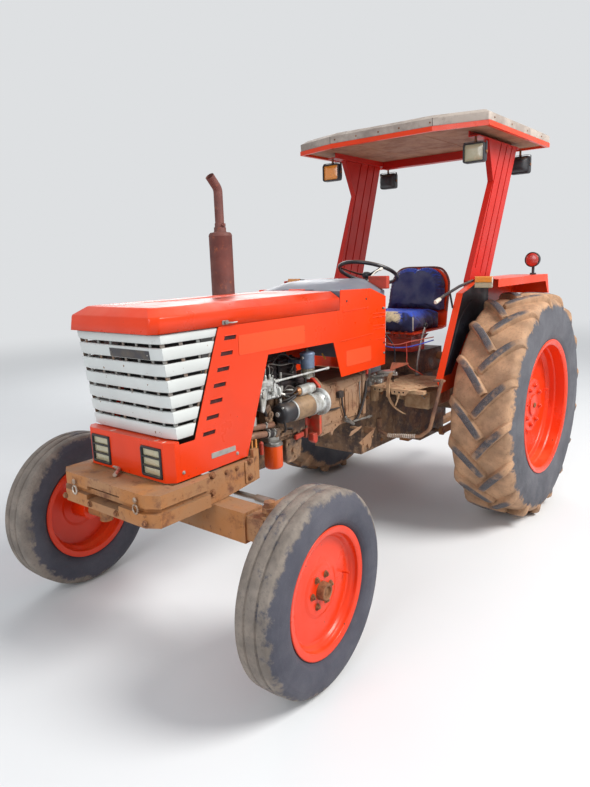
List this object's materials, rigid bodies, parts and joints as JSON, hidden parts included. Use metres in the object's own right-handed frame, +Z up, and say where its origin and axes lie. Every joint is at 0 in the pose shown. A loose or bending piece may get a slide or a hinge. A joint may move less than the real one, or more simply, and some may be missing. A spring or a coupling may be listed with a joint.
{
  "type": "vintage tractor",
  "caption": "Rear-wheel-drive farm tractor with opening bonnet lid, steered front wheels, ribbed roll bar with canopy, driver's seat and three-point hitch.",
  "frame": {"origin": "centre of the bounding box at ground level, under the middle of the tractor", "axes": "-Y is forward along the tractor, +X is the tractor's left, +Z is up"},
  "size_m": [2.17, 3.8533, 2.725],
  "materials": {
    "chassis_tan": "worn",
    "bare_metal": "worn",
    "filter_orange": "gloss",
    "rusty_pipe": "rusty",
    "radiator_black": "matt",
    "grille_white": "gloss",
    "body_red": "gloss",
    "bar_red": "satin",
    "lamp_black": "matt",
    "lamp_orange": "gloss",
    "cowl_grey": "satin",
    "roof_grey": "weathered",
    "seat_blue": "woven",
    "wheel_black": "satin",
    "rim_orange": "gloss",
    "tyre_rubber": "worn"
  },
  "bodies": {
    "chassis": {"front_ballast": "chassis_tan", "front_frame": "chassis_tan", "front_axle": "chassis_tan", "engine_block": "chassis_tan", "starter_motor": "chassis_tan", "injection_pump": "bare_metal", "fuel_filters": "filter_orange", "radiator": "radiator_black", "exhaust": "rusty_pipe", "clutch_housing": "chassis_tan", "gearbox": "chassis_tan", "rear_axle": "chassis_tan", "grille": "grille_white", "nose_panel": "body_red", "headlamps": "lamp_black", "side_panels": "body_red", "dash_cowl": "cowl_grey", "steering_column": "lamp_black", "platform": "chassis_tan", "steps": "rusty_pipe", "fenders": "body_red", "fender_lamps": "lamp_orange", "roll_bar": "bar_red", "canopy_frame": "body_red", "canopy_roof": "roof_grey", "work_lamps": "lamp_black", "seat_pan": "body_red", "seat_cushion": "seat_blue", "seat_backrest": "seat_blue", "controls": "bare_metal", "drawbar": "chassis_tan"},
    "lid": {"bonnet_lid": "body_red"},
    "hand_wheel": {"steering_wheel": "wheel_black"},
    "knuckle_left": {"steering_knuckle_left": "chassis_tan"},
    "knuckle_right": {"steering_knuckle_right": "chassis_tan"},
    "track_rod": {"tie_rod": "bare_metal"},
    "wheel_front_left": {"front_rim_left": "rim_orange", "front_tyre_left": "tyre_rubber"},
    "wheel_front_right": {"front_rim_right": "rim_orange", "front_tyre_right": "tyre_rubber"},
    "wheel_rear_left": {"rear_rim_left": "rim_orange", "rear_tyre_left": "tyre_rubber"},
    "wheel_rear_right": {"rear_rim_right": "rim_orange", "rear_tyre_right": "tyre_rubber"},
    "rockshaft": {"lift_arms": "chassis_tan"},
    "hitch_links": {"lower_links": "chassis_tan"},
    "hitch_rods": {"lift_rods": "bare_metal"}
  },
  "joints": [
    {"name": "lid_hinge", "type": "hinge", "parent": "chassis", "child": "lid", "pos_m": [0, -0.43312, 1.654], "axis": [-1, 0, 0], "range_deg": [0, 60]},
    {"name": "steer_left", "type": "hinge", "parent": "chassis", "child": "knuckle_left", "pos_m": [0.63, -1.46713, 0.6], "axis": [0, 0, 1], "range_deg": [-48.8, 41.2]},
    {"name": "steer_right", "type": "hinge", "parent": "chassis", "child": "knuckle_right", "pos_m": [-0.63, -1.46713, 0.6], "axis": [0, 0, 1], "range_deg": [-48.8, 41.2]},
    {"name": "track_rod_pivot", "type": "hinge", "parent": "knuckle_left", "child": "track_rod", "pos_m": [0.61807, -1.28752, 0.7], "axis": [0, 0, 1], "range_deg": [-41.2, 48.8]},
    {"name": "hand_wheel_turn", "type": "hinge", "parent": "chassis", "child": "hand_wheel", "pos_m": [0, 0.36088, 1.733], "axis": [0, 0.3795, 0.9252], "range_deg": [-650, 650]},
    {"name": "roll_front_left", "type": "hinge", "parent": "knuckle_left", "child": "wheel_front_left", "pos_m": [0.85151, -1.45241, 0.445], "axis": [0.9978, 0.0663, 0], "continuous": true},
    {"name": "roll_front_right", "type": "hinge", "parent": "knuckle_right", "child": "wheel_front_right", "pos_m": [-0.85151, -1.48184, 0.445], "axis": [0.9978, 0.0663, 0], "continuous": true},
    {"name": "roll_rear_left", "type": "hinge", "parent": "chassis", "child": "wheel_rear_left", "pos_m": [0.87, 0.97288, 0.785], "axis": [1, 0, 0], "continuous": true},
    {"name": "roll_rear_right", "type": "hinge", "parent": "chassis", "child": "wheel_rear_right", "pos_m": [-0.87, 0.97288, 0.785], "axis": [1, 0, 0], "continuous": true},
    {"name": "hitch_lift", "type": "hinge", "parent": "chassis", "child": "rockshaft", "pos_m": [0, 1.15288, 1.06], "axis": [1, 0, 0], "range_deg": [-20, 24]},
    {"name": "links_swing", "type": "hinge", "parent": "chassis", "child": "hitch_links", "pos_m": [0, 1.03287, 0.48], "axis": [1, 0, 0], "range_deg": [-20, 24]},
    {"name": "rods_swing", "type": "hinge", "parent": "rockshaft", "child": "hitch_rods", "pos_m": [0, 1.47966, 1.10593], "axis": [1, 0, 0], "range_deg": [-24, 20]}
  ],
  "couplings": [
    {"joint": "steer_right", "follows": "steer_left", "ratio": 1},
    {"joint": "track_rod_pivot", "follows": "steer_left", "ratio": -1},
    {"joint": "hand_wheel_turn", "follows": "steer_left", "ratio": 13},
    {"joint": "links_swing", "follows": "hitch_lift", "ratio": 1},
    {"joint": "rods_swing", "follows": "hitch_lift", "ratio": -1}
  ]
}
